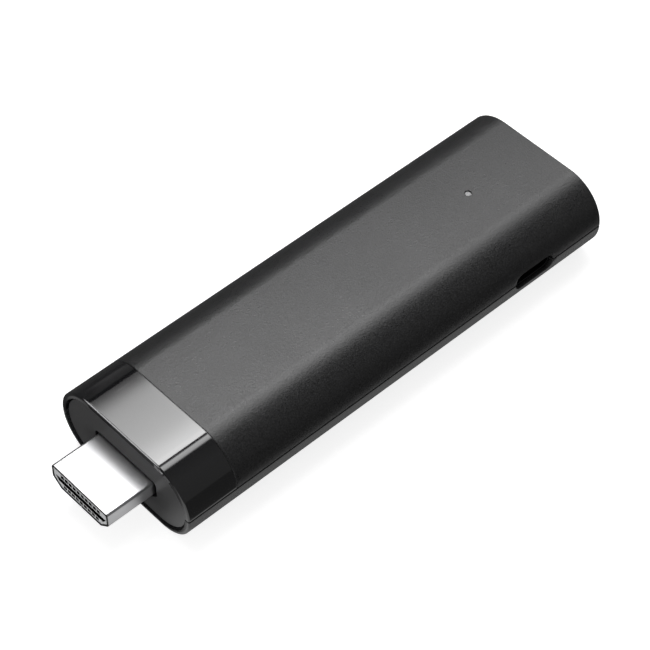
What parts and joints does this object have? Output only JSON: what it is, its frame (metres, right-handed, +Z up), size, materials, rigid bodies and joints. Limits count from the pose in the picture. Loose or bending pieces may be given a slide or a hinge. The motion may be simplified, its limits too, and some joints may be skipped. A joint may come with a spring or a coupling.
{
  "type": "streaming stick",
  "caption": "Slim bar-shaped media player with an HDMI plug at its end, a USB-C power opening in a long side, a status light window and a recessed reset button.",
  "frame": {"origin": "on the flat underside, below the middle of the whole length with the plug", "axes": "+X along the stick from the HDMI plug to the far end, +Y across to the reset button side, +Z up"},
  "size_m": [0.1034, 0.0316, 0.0155],
  "materials": {
    "housing_black": "fine matte grain with a polished band at the plug end",
    "cover_black": "fine matte grain",
    "cap_black": "smooth satin",
    "plug_steel": "plated sheet",
    "insulator_grey": "moulded",
    "contact_gold": "gold plated",
    "port_steel": "dark plated sheet",
    "insulator_black": "moulded",
    "board_green": "solder mask",
    "chip_black": "moulded compound",
    "can_steel": "tinned sheet",
    "ceramic_brown": "fired ceramic",
    "sink_aluminium": "extruded",
    "pad_blue": "soft silicone",
    "screw_steel": "plated",
    "window_clear": "milky moulded",
    "led_white": "moulded",
    "button_black": "satin",
    "plunger_red": "moulded"
  },
  "bodies": {
    "casing": {"upper_housing": "housing_black", "lower_cover": "cover_black", "front_cap": "cap_black", "hdmi_shell": "plug_steel", "hdmi_insulator": "insulator_grey", "hdmi_contacts_upper": "contact_gold", "hdmi_contacts_lower": "contact_gold", "main_board": "board_green", "board_screws": "screw_steel", "usb_shell": "port_steel", "usb_insulator": "insulator_black", "usb_contacts": "contact_gold", "light_guide": "window_clear", "status_led": "led_white", "switch_body": "chip_black", "processor": "chip_black", "memory_chips": "chip_black", "flash_chip": "chip_black", "power_chip": "chip_black", "power_inductors": "chip_black", "crystal": "can_steel", "hdmi_filters": "chip_black", "capacitors": "ceramic_brown", "shield_frame": "can_steel", "shield_lid": "can_steel", "chip_pad": "pad_blue", "thermal_pad_upper": "pad_blue", "heat_sink": "sink_aluminium", "lower_shield": "can_steel", "heat_plate": "sink_aluminium", "thermal_pad_lower": "pad_blue", "wireless_module": "can_steel", "antenna_left": "contact_gold", "antenna_right": "contact_gold"},
    "button": {"reset_button": "button_black", "switch_plunger": "plunger_red"}
  },
  "joints": [
    {"name": "button_press", "type": "slide", "parent": "casing", "child": "button", "axis": [0, -1, 0], "range_m": [0, 0.00025], "stiffness_N_per_m": 1600}
  ]
}
